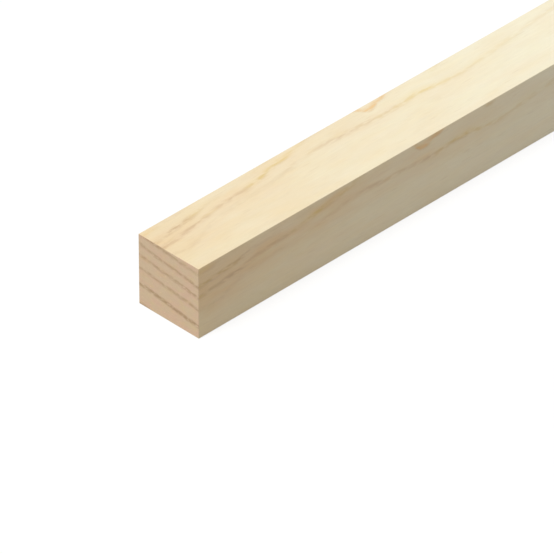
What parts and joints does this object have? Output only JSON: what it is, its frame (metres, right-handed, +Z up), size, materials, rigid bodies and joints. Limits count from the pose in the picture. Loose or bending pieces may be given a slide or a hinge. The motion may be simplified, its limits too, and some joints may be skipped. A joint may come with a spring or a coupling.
{
  "type": "timber furring strip",
  "caption": "Straight square-section softwood strip with eased arrises and square-cut ends, nailed to a wall or ceiling to level it and carry lining or cladding.",
  "frame": {"origin": "centre of the resting face, midway along the length and the width", "axes": "+X along the strip's length, +Y across its width, +Z up from the resting face to the fixing face"},
  "size_m": [2.438, 0.038, 0.038],
  "materials": {
    "softwood": "planed, bare, matt"
  },
  "bodies": {
    "root": {"furring_strip": "softwood"}
  },
  "joints": []
}
